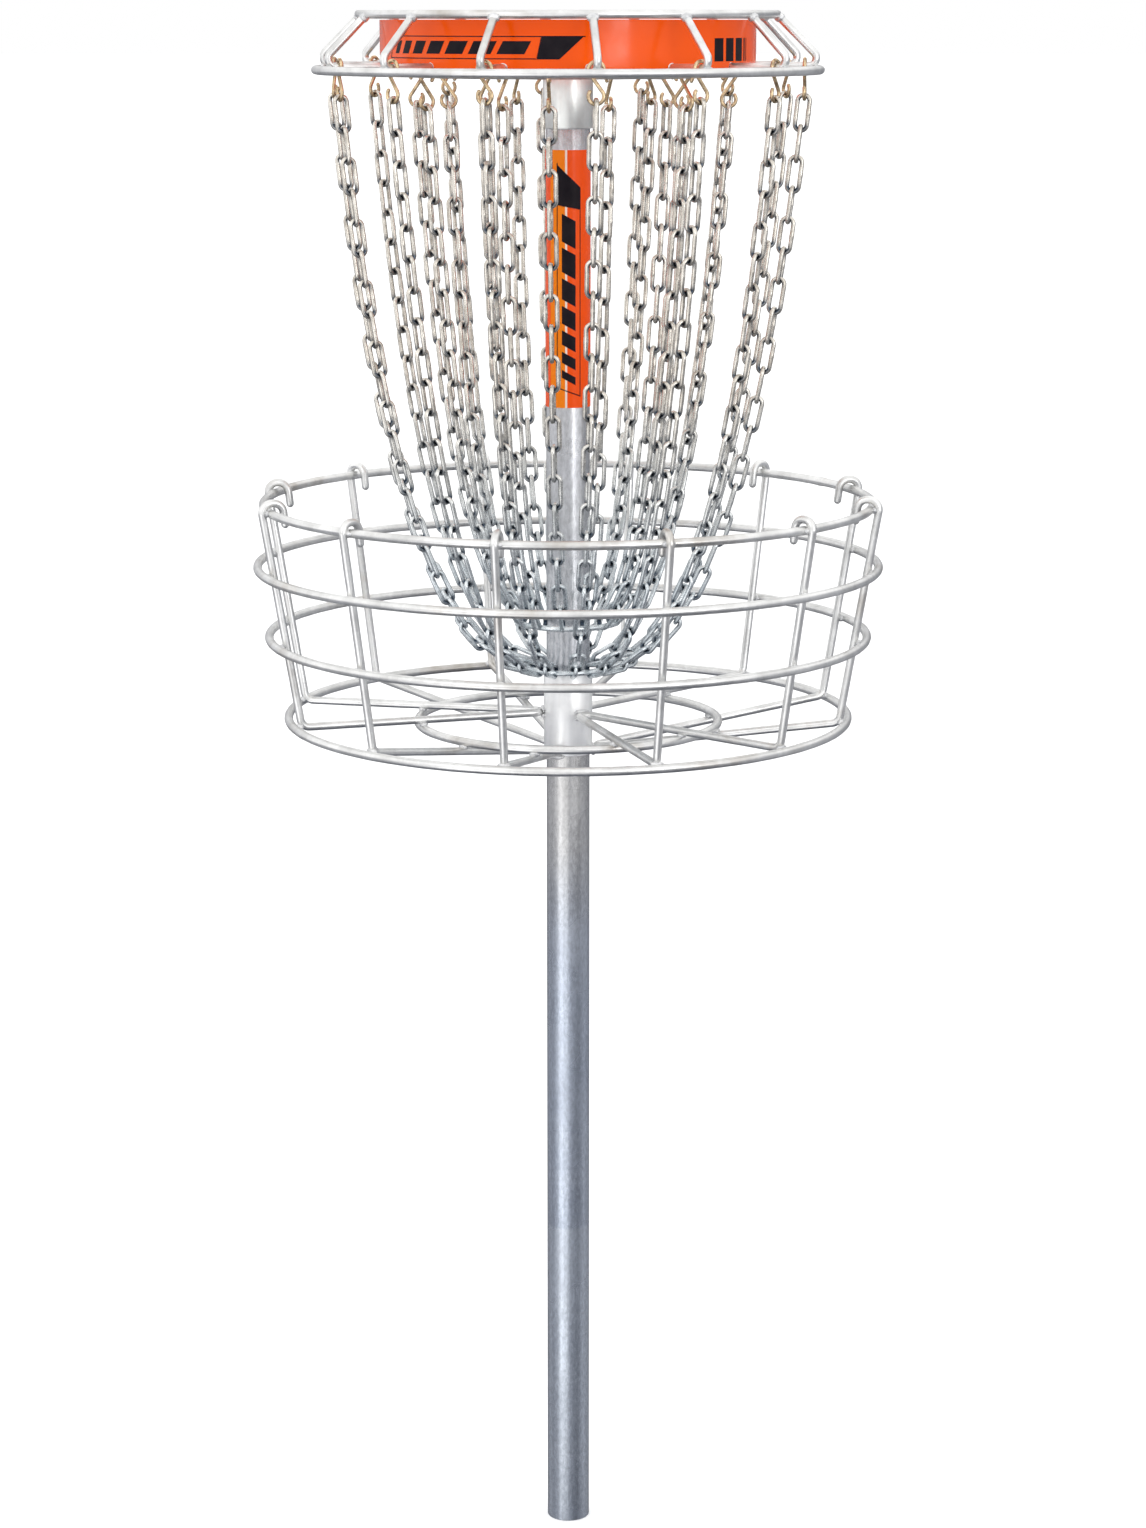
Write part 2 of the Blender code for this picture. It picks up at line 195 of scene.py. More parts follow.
# What the metal sees round the horizon, as (heading, brightness): a soft light on the right for the upper
# parts, and a light ahead with dark sides for the parts below
UPPER_SURROUNDINGS = ((-180, 0.20), (-140, 0.70), (-120, 1.30), (-95, 1.35), (-60, 1.00), (-30, 0.95),
                      (8, 0.92), (22, 1.35), (34, 2.20), (54, 2.05), (64, 1.25), (78, 0.72), (95, 0.50),
                      (120, 0.40), (150, 0.24), (180, 0.20))
LOWER_SURROUNDINGS = ((-180, 0.18), (-150, 0.25), (-124, 0.44), (-97, 0.34), (-76, 0.50), (-60, 0.78),
                      (-46, 1.90), (-34, 1.95), (-22, 1.45), (-6, 1.30), (5, 0.62), (16, 0.44), (40, 0.28),
                      (60, 0.22), (78, 0.40), (97, 0.48), (150, 0.30), (180, 0.18))
# Between which Z of a direction each takes over, and the light on dull faces from below and above
LOWER_FROM = (-0.118, -0.155)
SKY_FROM = (0.10, 0.42)
GROUND_FROM = (-0.60, -0.84)
LIGHT_FROM = (-0.30, 0.05)
SKY = (1.22, 1.22, 1.22)
GROUND = (0.09, 0.10, 0.13)
LIGHT_ABOVE = (1.42, 1.42, 1.42)
LIGHT_BELOW = (0.34, 0.34, 0.3604)

cad_nodes = frame["nodes"]


# ---- places read from the model

def polar(radius, heading, height):
    angle = math.radians(heading)
    return Vector((radius * math.sin(angle), -radius * math.cos(angle), height))


def hoop_place(node):
    """Radius and height of a hoop's centre line."""
    places = [v.co for v in cad_nodes[node].data.vertices]
    count = len(places)
    return sum(math.hypot(p.x, p.y) for p in places) / count, sum(p.z for p in places) / count


UPPER = hoop_place("upper_support_ring")
LOWER = hoop_place("lower_support_ring")
RIM = hoop_place("rim_ring")
SECOND = hoop_place("second_ring")
THIRD = hoop_place("third_ring")
BOTTOM = hoop_place("bottom_ring")
FLOOR_HOOP = hoop_place("floor_ring")
OUTER_RING = hoop_place("outer_chain_ring")
INNER_RING = hoop_place("inner_chain_ring")
MIDDLE_HANGER = hoop_place("middle_hanger_ring")
INNER_HANGER = hoop_place("inner_hanger_ring")
SLEEVE_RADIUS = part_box("top_sleeve")[1].x
POLE_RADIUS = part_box("pole")[1].x
SPOKE_LEVEL = LOWER[1] + SPOKE_RISE


# ---- materials

class Tree:
    """Adds nodes to a node tree; every method but node returns an output socket."""

    def __init__(self, tree):
        self.tree = tree

    def node(self, kind, links=(), **values):
        made = self.tree.nodes.new(kind)
        for key, value in values.items():
            setattr(made, key, value)
        for socket, source in dict(links).items():
            if isinstance(source, bpy.types.NodeSocket):
                self.tree.links.new(source, made.inputs[socket])
            else:
                made.inputs[socket].default_value = source
        return made

    def scaled(self, value, low, high, start=0.0, end=1.0):
        made = self.node("ShaderNodeMapRange", {"Value": value, "From Min": start, "From Max": end,
                                                "To Min": low, "To Max": high})
        return made.outputs["Result"]

    def maths(self, operation, a, b):
        return self.node("ShaderNodeMath", {0: a, 1: b}, operation=operation).outputs["Value"]

    def mix(self, share, a, b):
        made = self.node("ShaderNodeMix", {"Factor": share}, data_type="RGBA")
        for socket, colour in ((made.inputs[6], a), (made.inputs[7], b)):
            if isinstance(colour, bpy.types.NodeSocket):
                self.tree.links.new(colour, socket)
            else:
                socket.default_value = (*colour, 1.0)
        return made.outputs[2]


class Graph(Tree):
    """A material's nodes round its Principled shader."""

    def __init__(self, name, colour, roughness, metallic):
        self.material = bpy.data.materials.new(name)
        self.material.use_nodes = True
        super().__init__(self.material.node_tree)
        self.shader = self.tree.nodes["Principled BSDF"]
        self.shader.inputs["Base Color"].default_value = (*colour, 1.0)
        self.shader.inputs["Roughness"].default_value = roughness
        self.shader.inputs["Metallic"].default_value = metallic
        self.place = self.tree.nodes.new("ShaderNodeTexCoord").outputs["Object"]

    def stretched(self, scale):
        return self.node("ShaderNodeMapping", {"Vector": self.place, "Scale": scale}).outputs["Vector"]

    def noise(self, scale, detail=4.0, rough=0.55, place=None):
        made = self.node("ShaderNodeTexNoise", {"Vector": place or self.place, "Scale": scale,
                                                "Detail": detail, "Roughness": rough})
        return made.outputs["Fac"]

    def cells(self, scale):
        """One random grey for each crystal."""
        made = self.node("ShaderNodeTexVoronoi", {"Vector": self.place, "Scale": scale})
        return self.node("ShaderNodeSeparateColor", {"Color": made.outputs["Color"]}).outputs["Red"]

    def tone(self):
        """The socket that feeds the base colour so far."""
        return self.shader.inputs["Base Color"].links[0].from_socket

    def shade(self, colour, value):
        """The colour made lighter or darker by value."""
        made = self.node("ShaderNodeVectorMath", {0: colour}, operation="SCALE")
        self.tree.links.new(value, made.inputs["Scale"])
        return made.outputs["Vector"]

    def height(self):
        return self.node("ShaderNodeSeparateXYZ", {"Vector": self.place}).outputs["Z"]

    def use(self, **sockets):
        for name, source in sockets.items():
            self.tree.links.new(source, self.shader.inputs[name.replace("_", " ")])

    def bump(self, height, strength, distance):
        made = self.node("ShaderNodeBump", {"Height": height, "Strength": strength, "Distance": distance})
        self.use(Normal=made.outputs["Normal"])


def galvanised(name, light, dark, roughness, metallic, crystal, mottle, bump, grain=0.09):
    """Dipped zinc: flat crystals of slightly different greys, soft mottling and a fine pebbled surface."""
    graph = Graph(name, light, roughness, metallic)
    clouds = graph.noise(mottle, 6.0)
    crystals = graph.cells(crystal)
    pebbles = graph.noise(1400.0, 3.0)
    tone = graph.mix(graph.scaled(clouds, 0.0, 1.0, 0.35, 0.68), light, dark)
    graph.use(Base_Color=graph.shade(tone, graph.scaled(crystals, 1.0 - grain, 1.0 + grain)))
    crystal_gloss = graph.scaled(crystals, -grain / 2, grain / 2)
    uneven_gloss = graph.maths("ADD", crystal_gloss, graph.scaled(clouds, -0.04, 0.05))
    graph.use(Roughness=graph.maths("ADD", uneven_gloss, roughness))
    graph.bump(graph.maths("ADD", pebbles, graph.maths("MULTIPLY", clouds, 0.8)), bump, 0.0002)
    return graph


def rod_zinc():
    """Bright zinc with a few dull brownish stretches."""
    graph = galvanised("rod_zinc", (0.84, 0.84, 0.83), (0.63, 0.63, 0.62), roughness=0.31, metallic=0.92,
                       crystal=170.0, mottle=26.0, bump=0.30, grain=0.04)
    stains = graph.scaled(graph.noise(5.5, 5.0, 0.65), 0.0, 0.75, 0.56, 0.68)
    graph.use(Base_Color=graph.mix(stains, graph.tone(), (0.44, 0.40, 0.35)))
    return graph.material


def weld_zinc():
    """The duller, rougher zinc on a weld."""
    return galvanised("weld_zinc", (0.80, 0.80, 0.80), (0.52, 0.53, 0.54), roughness=0.46, metallic=0.75,
                      crystal=260.0, mottle=90.0, bump=0.8).material


def pole_zinc():
    """Drawn tube: lengthwise streaks, frosty flecks, uneven gloss and a bluer lower half."""
    graph = galvanised("pole_zinc", (0.55, 0.56, 0.58), (0.48, 0.49, 0.52), roughness=0.24, metallic=0.94,
                       crystal=230.0, mottle=12.0, bump=0.10, grain=0.025)
    height = graph.height()
    uneven_tone = graph.scaled(graph.noise(16.0, 6.0, 0.6), 0.0, 1.0, 0.35, 0.68)
    blue = graph.mix(uneven_tone, (0.50, 0.545, 0.62), (0.42, 0.465, 0.545))
    tone = graph.mix(graph.scaled(height, 1.0, 0.0, 0.62, 0.95), graph.tone(), blue)
    warm = graph.maths("MULTIPLY", graph.scaled(height, 0.0, 0.5, 0.70, 0.80),
                       graph.scaled(height, 1.0, 0.0, 0.90, 0.96))
    tone = graph.mix(warm, tone, (0.60, 0.575, 0.53))
    tone = graph.mix(graph.scaled(height, 0.30, 0.0, 0.353, 0.356), tone, (0.68, 0.72, 0.76))
    streaks = graph.noise(90.0, 5.0, 0.6, graph.stretched((1.0, 1.0, 0.03)))
    tone = graph.shade(tone, graph.scaled(streaks, 0.86, 1.12, 0.3, 0.7))
    flecks = graph.noise(330.0, 3.0, 0.7, graph.stretched((1.0, 1.0, 0.45)))
    tone = graph.shade(tone, graph.scaled(flecks, 0.88, 1.14, 0.36, 0.64))
    patches = graph.noise(7.0, 3.0, 0.5, graph.stretched((0.6, 0.6, 1.0)))
    graph.use(Base_Color=tone, Roughness=graph.scaled(patches, 0.17, 0.34, 0.35, 0.65))
    dents = graph.maths("ADD", graph.noise(30.0, 3.0), graph.maths("MULTIPLY", flecks, 0.10))
    graph.bump(dents, 0.22, 0.0012)
    return graph.material


def sleeve_zinc(name, light, dark, metallic):
    """A sleeve's smooth dipped surface, with faint lengthwise streaks."""
    graph = galvanised(name, light, dark, roughness=0.30, metallic=metallic,
                       crystal=150.0, mottle=20.0, bump=0.15, grain=0.02)
    streaks = graph.noise(70.0, 4.0, 0.6, graph.stretched((1.0, 1.0, 0.08)))
    graph.use(Base_Color=graph.shade(graph.tone(), graph.scaled(streaks, 0.93, 1.05, 0.3, 0.7)))
    return graph.material


def chain_zinc():
    """Welded chain: warm bright zinc, cooler lower down, with painted shade where a link hangs in the next.
    """
    graph = galvanised("chain_zinc", (0.81, 0.77, 0.70), (0.50, 0.46, 0.40), roughness=0.27, metallic=0.94,
                       crystal=420.0, mottle=60.0, bump=0.3, grain=0.04)
    patches = graph.scaled(graph.noise(60.0, 6.0), 0.0, 1.0, 0.35, 0.68)
    cool = graph.mix(patches, (0.78, 0.82, 0.84), (0.56, 0.61, 0.64))
    tone = graph.mix(graph.scaled(graph.height(), 1.0, 0.0, 1.10, 1.32), graph.tone(), cool)
    # painted shade: a dark slate colour where one link hangs in the next, standing in for the shadow there
    painted_shade = graph.node("ShaderNodeAttribute", attribute_name="painted_shade").outputs["Fac"]
    speckled_painted_shade = graph.maths("MULTIPLY", painted_shade, graph.scaled(graph.noise(500.0), 0.8, 1.15))
    graph.use(Base_Color=graph.mix(speckled_painted_shade, tone, (0.045, 0.065, 0.095)))
    return graph.material


def hook_zinc():
    """Yellow-passivated hook wire."""
    return galvanised("hook_zinc", (0.80, 0.62, 0.38), (0.42, 0.31, 0.20), roughness=0.30, metallic=0.88,
                      crystal=500.0, mottle=140.0, bump=0.25).material


def bolt_zinc():
    """Fine-grained plated zinc."""
    return galvanised("bolt_zinc", (0.66, 0.66, 0.64), (0.46, 0.46, 0.46), roughness=0.30, metallic=0.90,
                      crystal=600.0, mottle=200.0, bump=0.2).material


def coloured_sheet(name, colour, deep, roughness):
    """Painted sheet or film: even colour with faint fading, uneven gloss and orange peel."""
    graph = Graph(name, colour, roughness, 0.0)
    fading = graph.scaled(graph.noise(9.0, 5.0), 0.0, 0.55, 0.3, 0.72)
    graph.use(Base_Color=graph.mix(fading, colour, deep))
    graph.use(Roughness=graph.scaled(graph.noise(40.0, 4.0), roughness - 0.05, roughness + 0.08, 0.3, 0.7))
    graph.shader.inputs["Specular IOR Level"].default_value = 0.2
    graph.bump(graph.noise(700.0, 2.0), 0.12, 0.0001)
    return graph


def decal_film():
    """Film with a painted highlight left of the middle, a yellower stripe and a fine white line, under the
    dark print.
    """
    graph = coloured_sheet("decal_film", (0.97, 0.092, 0.001), (0.94, 0.080, 0.001), 0.22)
    tone = graph.tone()
    across = graph.node("ShaderNodeSeparateXYZ", {"Vector": graph.place}).outputs["X"]
    # painted highlight: a soft yellower band and a fine warm white line where a light would reflect in the
    # glossy film
    painted_highlights = ((-0.0185, -0.0033, (0.98, 0.235, 0.001)), (-0.0031, -0.0008, (0.93, 0.80, 0.70)))
    for left, right, colour in painted_highlights:
        inside = graph.maths("MULTIPLY", graph.maths("GREATER_THAN", across, left),
                             graph.maths("LESS_THAN", across, right))
        tone = graph.mix(inside, tone, colour)
    graph.use(Base_Color=tone)
    return graph.material


def ink():
    """Dark print, slightly uneven."""
    graph = Graph("print_ink", (0.012, 0.010, 0.014), 0.38, 0.0)
    graph.shader.inputs["Specular IOR Level"].default_value = 0.1
    patches = graph.scaled(graph.noise(60.0, 5.0), 0.0, 1.0, 0.3, 0.7)
    tone = graph.mix(patches, (0.006, 0.004, 0.008), (0.016, 0.012, 0.015))
    graph.use(Base_Color=tone, Roughness=graph.scaled(graph.noise(120.0), 0.30, 0.46))
    graph.bump(graph.noise(700.0, 2.0), 0.1, 0.0001)
    return graph.material


def floor_paint():
    """The pale studio floor."""
    graph = Graph("studio_floor", (0.93, 0.93, 0.93), 0.9, 0.0)
    graph.use(Base_Color=graph.mix(graph.noise(1.5, 4.0), (0.92, 0.92, 0.92), (0.95, 0.95, 0.95)))
    graph.shader.inputs["Specular IOR Level"].default_value = 0.1
    return graph.material


ROD_ZINC = rod_zinc()
WELD_ZINC = weld_zinc()
POLE_ZINC = pole_zinc()
TOP_SLEEVE_ZINC = sleeve_zinc("top_sleeve_zinc", (0.93, 0.95, 0.93), (0.80, 0.82, 0.80), 0.85)
BASKET_SLEEVE_ZINC = sleeve_zinc("basket_sleeve_zinc", (0.96, 0.96, 0.96), (0.84, 0.85, 0.86), 0.45)
CHAIN_ZINC = chain_zinc()
HOOK_ZINC = hook_zinc()
BOLT_ZINC = bolt_zinc()
BAND_PAINT = coloured_sheet("band_paint", (0.96, 0.100, 0.001), (0.93, 0.086, 0.001), 0.16).material
DECAL_FILM = decal_film()
INK = ink()


# ---- building blocks

def piece(name, points, faces, material, body, replaces=(), slot=None, sharp=None):
    """A mesh piece riding on a body and standing for CAD nodes. A weld's crest that would stand out of the
    model's box is dressed flush with it."""
    mesh = bpy.data.meshes.new(name)
    low, high = CAD_BOX
    mesh.from_pydata([tuple(min(max(p[k], low[k]), high[k]) for k in range(3)) for p in points], [], faces)
    mesh.materials.append(material)
    mesh.shade_smooth()
    if sharp:
        mesh.set_sharp_from_angle(angle=math.radians(sharp))
    made = bpy.data.objects.new(name, mesh)
    bpy.context.scene.collection.objects.link(made)
    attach(made, body)
    if replaces:
        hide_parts(*replaces)
    return made


def rounded(corners, radii):
    """The polyline through corners, each inner corner replaced by an arc of its own radius."""
    path = [corners[0]]
    for before, corner, after, radius in zip(corners, corners[1:], corners[2:], radii):
        back = (before - corner).normalized()
        ahead = (after - corner).normalized()
        half = back.angle(ahead) / 2
        centre = corner + (back + ahead).normalized() * (radius / math.sin(half))
        start = corner + back * (radius / math.tan(half)) - centre
        turn = math.pi - 2 * half
        steps = max(3, math.ceil(math.degrees(turn) / BEND_STEP))
        for i in range(steps + 1):
            angle = turn * i / steps
            path.append(centre + start * math.cos(angle) - radius * back * math.sin(angle))
    path.append(corners[-1])
    return path


def filled_in(path, spacing):
    """The path with points added so that none are further apart than spacing."""
    made = [path[0]]
    for here, there in zip(path, path[1:]):
        steps = max(1, math.ceil((there - here).length / spacing))
        made += [here.lerp(there, i / steps) for i in range(1, steps + 1)]
    return made


def uneven(point, radius, amount):
    """A rod's radius at a point, with the slight unevenness of dipped zinc."""
    return radius * (1 + amount * noise.noise(point * 55.0) + amount * 0.6 * noise.noise(point * 190.0))


def sweep(path, radius, sides=ROD_SIDES, closed=False, amount=0.035):
    """Points and faces of a round rod along a path, with domed ends."""
    count = len(path)
    stations = []
    for i, place in enumerate(path):
        before = path[i - 1] if closed or i else place
        after = path[(i + 1) % count] if closed or i < count - 1 else place
        stations.append((place, (after - before).normalized(), uneven(place, radius, amount)))
    if not closed:
        dome = [math.radians(a) for a in (25, 50, 72, 86)]
        start, along, size = stations[0]
        head = [(start - along * size * math.sin(a), along, size * math.cos(a)) for a in dome]
        end, along, size = stations[-1]
        tail = [(end + along * size * math.sin(a), along, size * math.cos(a)) for a in dome]
        stations = head[::-1] + stations + tail
    points = []
    side = stations[0][1].orthogonal().normalized()
    for place, along, size in stations:
        side = (side - along * side.dot(along)).normalized()
        other = along.cross(side)
        for i in range(sides):
            angle = math.tau * i / sides
            points.append(place + (side * math.cos(angle) + other * math.sin(angle)) * size)
    faces = []
    rings = len(stations)
    shift = 0
    if closed:
        first = points[0] - stations[0][0]
        last_side = side - stations[0][1] * side.dot(stations[0][1])
        turn = math.atan2(stations[0][1].cross(first).dot(last_side), first.dot(last_side))
        shift = round(turn / math.tau * sides) % sides
    for ring in range(rings if closed else rings - 1):
        wrap = shift if closed and ring == rings - 1 else 0
        for i in range(sides):
            j = (i + 1) % sides
            a, b = ring * sides, (ring + 1) % rings * sides
            faces.append((a + i, a + j, b + (j + wrap) % sides, b + (i + wrap) % sides))
    if not closed:
        faces.append(tuple(range(sides))[::-1])
        faces.append(tuple((rings - 1) * sides + i for i in range(sides)))
    return points, faces


def joined(parts):
    """Several lots of points and faces as one."""
    points, faces = [], []
    for more_points, more_faces in parts:
        base = len(points)
        points += more_points
        faces += [tuple(base + i for i in face) for face in more_faces]
    return points, faces


def hoop(name, place, rod, node, seam, material=ROD_ZINC, slot=STEEL, count=HOOP_POINTS):
    """A closed hoop with the small bulge of its butt weld at the seam's heading."""
    radius, height = place
    path = [polar(radius, seam + 360.0 * i / count, height) for i in range(count)]
    points, faces = sweep(path, rod / 2, closed=True)
    weld = polar(radius, seam, height)
    swollen = []
    for point in points:
        near = math.exp(-((point - weld).length / (rod * 0.75)) ** 2)
        core = polar(radius, math.degrees(math.atan2(point.x, -point.y)), height)
        swollen.append(core + (point - core) * (1 + 0.16 * near))
    piece(name, swollen, faces, material, "frame", [node], slot)


def turned(name, profile, material, node):
    """A part turned round the pole's axis from a closed (radius, height) profile, outer side first."""
    points = [polar(radius, 360.0 * i / TUBE_SIDES, height) for i in range(TUBE_SIDES)
              for radius, height in profile]
    count = len(profile)
    faces = []
    for i in range(TUBE_SIDES):
        j = (i + 1) % TUBE_SIDES
        for a in range(count):
            b = (a + 1) % count
            faces.append((i * count + a, j * count + a, j * count + b, i * count + b))
    piece(name, points, faces, material, "frame", [node], STEEL, 35.0)


def tube_profile(outer, inner, bottom, top, chamfer):
    """A tube's wall with eased outer edges and slightly broken inner ones."""
    ease = chamfer * 0.3
    broken = chamfer * 0.4
    return [(outer - chamfer, bottom), (outer - ease, bottom + ease), (outer, bottom + chamfer),
            (outer, top - chamfer), (outer - ease, top - ease), (outer - chamfer, top),
            (inner + broken, top), (inner, top - broken), (inner, bottom + broken), (inner + broken, bottom)]


def taken_from(shape):
    """The points and faces of a bmesh, which is freed."""
    shape.verts.index_update()
    points = [v.co.copy() for v in shape.verts]
    faces = [tuple(v.index for v in face.verts) for face in shape.faces]
    shape.free()
    return points, faces


def unit_ball():
    shape = bmesh.new()
    bmesh.ops.create_icosphere(shape, subdivisions=3, radius=1.0)
    return taken_from(shape)


BALL = unit_ball()


def lump(centre, long_axis, out_axis, sizes, seed):
    """An uneven oval with half sizes along its long axis, its outward axis and the third axis."""
    along = long_axis.normalized()
    out = (out_axis - along * out_axis.dot(along)).normalized()
    third = along.cross(out)
    offset = Vector((seed * 1.7, seed * 0.9, seed * 2.3))
    points = []
    for ball in BALL[0]:
        ripple = 1 + 0.12 * noise.noise(ball * 2.1 + offset) + 0.05 * math.sin(ball.x * 11 + seed)
        swell = along * ball.x * sizes[0] + out * ball.y * sizes[1] + third * ball.z * sizes[2]
        points.append(centre + swell * ripple)
    return points, BALL[1]


def bead(radius, heading, height, sizes, seed):
    """A weld bead that runs round the pole's axis and stands outwards."""
    return lump(polar(radius, heading, height), polar(1, heading + 90, 0), polar(1, heading, 0), sizes, seed)


def sleeve_beads(heading, level, lift):
    """The beads below and above a rod's bend where it touches a sleeve."""
    return [bead(SLEEVE_RADIUS + SLEEVE_BEAD_REACH, heading, level + rise, SLEEVE_BEAD, heading + rise * 500)
            for rise in (-lift, lift)]


# ---- pole, sleeves and their fasteners

def pole_and_sleeves():
    low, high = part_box("pole")
    bore = min(math.hypot(v.co.x, v.co.y) for v in cad_nodes["pole"].data.vertices)
    turned("pole_tube", tube_profile(POLE_RADIUS, bore, low.z, high.z, TUBE_CHAMFER), POLE_ZINC, "pole")
    for place, zinc in (("top", TOP_SLEEVE_ZINC), ("basket", BASKET_SLEEVE_ZINC)):
        low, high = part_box(place + "_sleeve")
        profile = tube_profile(SLEEVE_RADIUS, POLE_RADIUS + SLEEVE_CLEARANCE, low.z, high.z, SLEEVE_CHAMFER)
        turned(place + "_sleeve_tube", profile, zinc, place + "_sleeve")
    low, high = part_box("sleeve_cap")
    profile = [(0.0, low.z), (SLEEVE_RADIUS - CAP_LOWER_CHAMFER, low.z),
               (SLEEVE_RADIUS, low.z + CAP_LOWER_CHAMFER), (SLEEVE_RADIUS, high.z - CAP_UPPER_CHAMFER),
               (SLEEVE_RADIUS - CAP_UPPER_CHAMFER, high.z), (0.0, high.z)]
    turned("sleeve_cap_disc", profile, TOP_SLEEVE_ZINC, "sleeve_cap")


def hex_part(name, node, widths):
    """A bevelled hex part on the back of a sleeve, through (width, distance from the pole's axis)."""
    low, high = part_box(node)
    height = (low.z + high.z) / 2
    shape = bmesh.new()
    rings = []
    for width, reach in widths:
        rings.append([shape.verts.new((width / 2 * math.cos(math.tau * i / 6), reach,
                                       height + width / 2 * math.sin(math.tau * i / 6))) for i in range(6)])
    for lower, upper in zip(rings, rings[1:]):
        for i in range(6):
            j = (i + 1) % 6
            shape.faces.new((lower[i], upper[i], upper[j], lower[j]))
    shape.faces.new(rings[0])
    shape.faces.new(rings[-1][::-1])
    bmesh.ops.recalc_face_normals(shape, faces=shape.faces)
    bmesh.ops.bevel(shape, geom=shape.edges[:], offset=BOLT_BEVEL, segments=2, affect="EDGES")
    piece(name, *taken_from(shape), BOLT_ZINC, "frame", [node], "zinc_bolt", 40.0)


def fasteners():
    for place in ("top", "basket"):
        node = place + "_set_bolt"
        low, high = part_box(node)
        width = high.x - low.x
        shank = width * BOLT_SHANK_SHARE
        head = high.y - BOLT_HEAD_HEIGHT
        hex_part(place + "_bolt_head", node,
                 [(shank, SLEEVE_RADIUS - BOLT_DEPTH), (shank, head), (width, head), (width, high.y)])


# ---- chain support and basket rods

def v_apex(foot_radius, half_angle, rod):
    """Where the straight legs of a V-bent rod would meet, so that its bend just touches the sleeve."""
    centre = SLEEVE_RADIUS + rod / 2 + WELD_GAP + APEX_BEND
    across = foot_radius * math.sin(math.radians(half_angle))
    along = foot_radius * math.cos(math.radians(half_angle)) - centre
    slope = math.atan2(across, along) - math.asin(APEX_BEND / math.hypot(across, along))
    return centre - APEX_BEND / math.sin(slope)


def support_corner():
    """Radius where a spoke's line meets the slanting leg's line, and the leg's direction in its plane."""
    reach = SPOKE_BEND + (RING_ROD + SUPPORT_ROD) / 2 + WELD_GAP
    centre_height = SPOKE_LEVEL + SPOKE_BEND
    centre_radius = LOWER[0] - math.sqrt(reach ** 2 - (centre_height - LOWER[1]) ** 2)
    out = centre_radius - UPPER[0]
    down = centre_height - UPPER[1]
    lean = math.atan2(down, out) + math.asin(SPOKE_BEND / math.hypot(out, down))
    return UPPER[0] + (SPOKE_LEVEL - UPPER[1]) / math.tan(lean), lean


def spoke_heading(index, radius):
    """The heading at which a spoke crosses a radius."""
    half = 180.0 / SPOKE_COUNT
    corner = support_corner()[0]
    apex = v_apex(corner, half, SUPPORT_ROD)
    slope = math.atan2(corner * math.sin(math.radians(half)), corner * math.cos(math.radians(half)) - apex)
    offset = slope - math.asin(apex * math.sin(slope) / radius)
    middle = FIRST_SPOKE - half + 4 * half * (index // 2)
    return middle + (1 if index % 2 else -1) * math.degrees(offset)


def chain_support():
    hoop("upper_hoop", UPPER, RING_ROD, "upper_support_ring", 140.0)
    hoop("lower_hoop", LOWER, RING_ROD, "lower_support_ring", 220.0)
    corner, lean = support_corner()
    stand_off = RING_ROD / 2
    end = (UPPER[0] + stand_off * math.cos(lean), UPPER[1] + stand_off * math.sin(lean))
    half = 180.0 / SPOKE_COUNT
    apex = v_apex(corner, half, SUPPORT_ROD)
    welds = []
    for pair in range(SPOKE_COUNT // 2):
        middle = FIRST_SPOKE - half + 4 * half * pair
        path = rounded([polar(end[0], middle - half, end[1]), polar(corner, middle - half, SPOKE_LEVEL),
                        polar(apex, middle, SPOKE_LEVEL), polar(corner, middle + half, SPOKE_LEVEL),
                        polar(end[0], middle + half, end[1])], [SPOKE_BEND, APEX_BEND, SPOKE_BEND])
        points, faces = sweep(filled_in(path, SUPPORT_SPACING), SUPPORT_ROD / 2)
        piece(f"spoke_pair_{pair + 1}", points, faces, ROD_ZINC, "frame", [f"support_rod_{pair + 1}"], STEEL)
        for side in (-1, 1):
            heading = middle + side * half
            welds.append(bead(end[0], heading, end[1], UPPER_HOOP_BEAD, heading))
            welds.append(bead(LOWER[0] - RING_ROD / 2, heading, LOWER[1] + LOWER_HOOP_BEAD_RISE,
                              LOWER_HOOP_BEAD, heading + 1))
        welds += sleeve_beads(middle, SPOKE_LEVEL, SUPPORT_BEAD_LIFT)
    down = Vector((0, 0, -1))
    hanger_bead_level = SPOKE_LEVEL - SUPPORT_ROD / 2 - HANGER_BEAD_DROP
    for name, place, seam in (("middle_hanger", MIDDLE_HANGER, 33.0), ("inner_hanger", INNER_HANGER, 160.0)):
        hoop(name + "_hoop", place, HANGER_ROD, name + "_ring", seam)
        for spoke in range(SPOKE_COUNT):
            heading = spoke_heading(spoke, place[0])
            for side in (-1, 1):
                beside = heading + side * math.degrees(HANGER_BEAD_OFFSET / place[0])
                welds.append(lump(polar(place[0], beside, hanger_bead_level), polar(1, heading, 0), down,
                                  HANGER_BEAD, heading + side))
    piece("support_welds", *joined(welds), WELD_ZINC, "frame", slot=STEEL)


def basket_foot(leg_radius, touch):
    """Radius and height of the corner between an upright and its floor spoke."""
    slope = math.hypot(1.0, UPRIGHT_LEAN)
    floor = BOTTOM[1]
    for _ in range(HALVINGS):
        foot = leg_radius - UPRIGHT_LEAN * (RIM[1] - floor)
        centre = foot + UPRIGHT_LEAN * UPRIGHT_FOOT_BEND - UPRIGHT_FOOT_BEND * slope
        rise = math.sqrt((UPRIGHT_FOOT_BEND + touch) ** 2 - (BOTTOM[0] - centre) ** 2)
        floor = BOTTOM[1] + rise - UPRIGHT_FOOT_BEND
    return foot, floor


